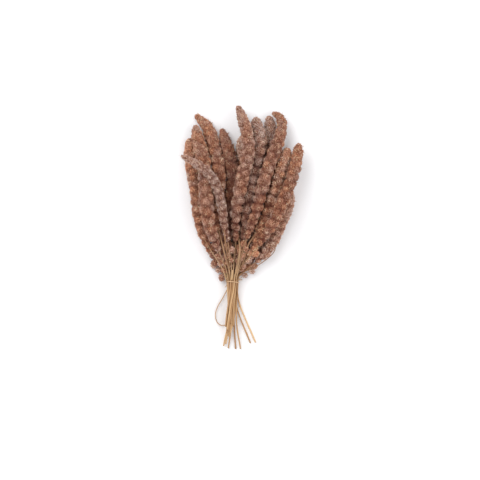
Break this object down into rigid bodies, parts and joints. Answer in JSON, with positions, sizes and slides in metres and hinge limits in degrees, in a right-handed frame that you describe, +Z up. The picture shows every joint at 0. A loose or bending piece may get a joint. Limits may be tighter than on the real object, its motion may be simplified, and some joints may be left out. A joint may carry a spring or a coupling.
{
  "type": "tied bunch of foxtail millet heads",
  "caption": "Bunch of dried red-brown foxtail millet heads with lobed, seed-covered spikes on thin straws, held together by one narrow band and lying flat.",
  "frame": {"origin": "on the surface that the bunch lies on, under the middle of its bounding box", "axes": "+X across the bunch, +Y along it towards the tips of the heads, +Z up from the surface"},
  "size_m": [0.1868, 0.3782, 0.0661],
  "materials": {
    "seed": "matt",
    "straw": "satin",
    "band": "matt"
  },
  "bodies": {
    "root": {"head_01": "seed", "head_02": "seed", "head_03": "seed", "head_04": "seed", "head_05": "seed", "head_06": "seed", "head_07": "seed", "head_08": "seed", "head_09": "seed", "head_10": "seed", "head_11": "seed", "head_12": "seed", "head_13": "seed", "head_14": "seed", "straw_01": "straw", "straw_02": "straw", "straw_03": "straw", "straw_04": "straw", "straw_05": "straw", "straw_06": "straw", "straw_07": "straw", "straw_08": "straw", "straw_09": "straw", "straw_10": "straw", "straw_11": "straw", "straw_12": "straw", "straw_13": "straw", "straw_14": "straw", "loose_straw_1": "straw", "loose_straw_2": "straw", "loose_straw_3": "straw", "loose_straw_4": "straw", "loose_straw_5": "straw", "loose_straw_6": "straw", "loose_straw_7": "straw", "loose_straw_8": "straw", "bowed_left_straw": "straw", "bowed_right_straw": "straw", "low_cluster_1": "seed", "low_cluster_2": "seed", "low_cluster_3": "seed", "low_cluster_4": "seed", "low_cluster_5": "seed", "low_cluster_6": "seed", "band": "band"}
  },
  "joints": []
}
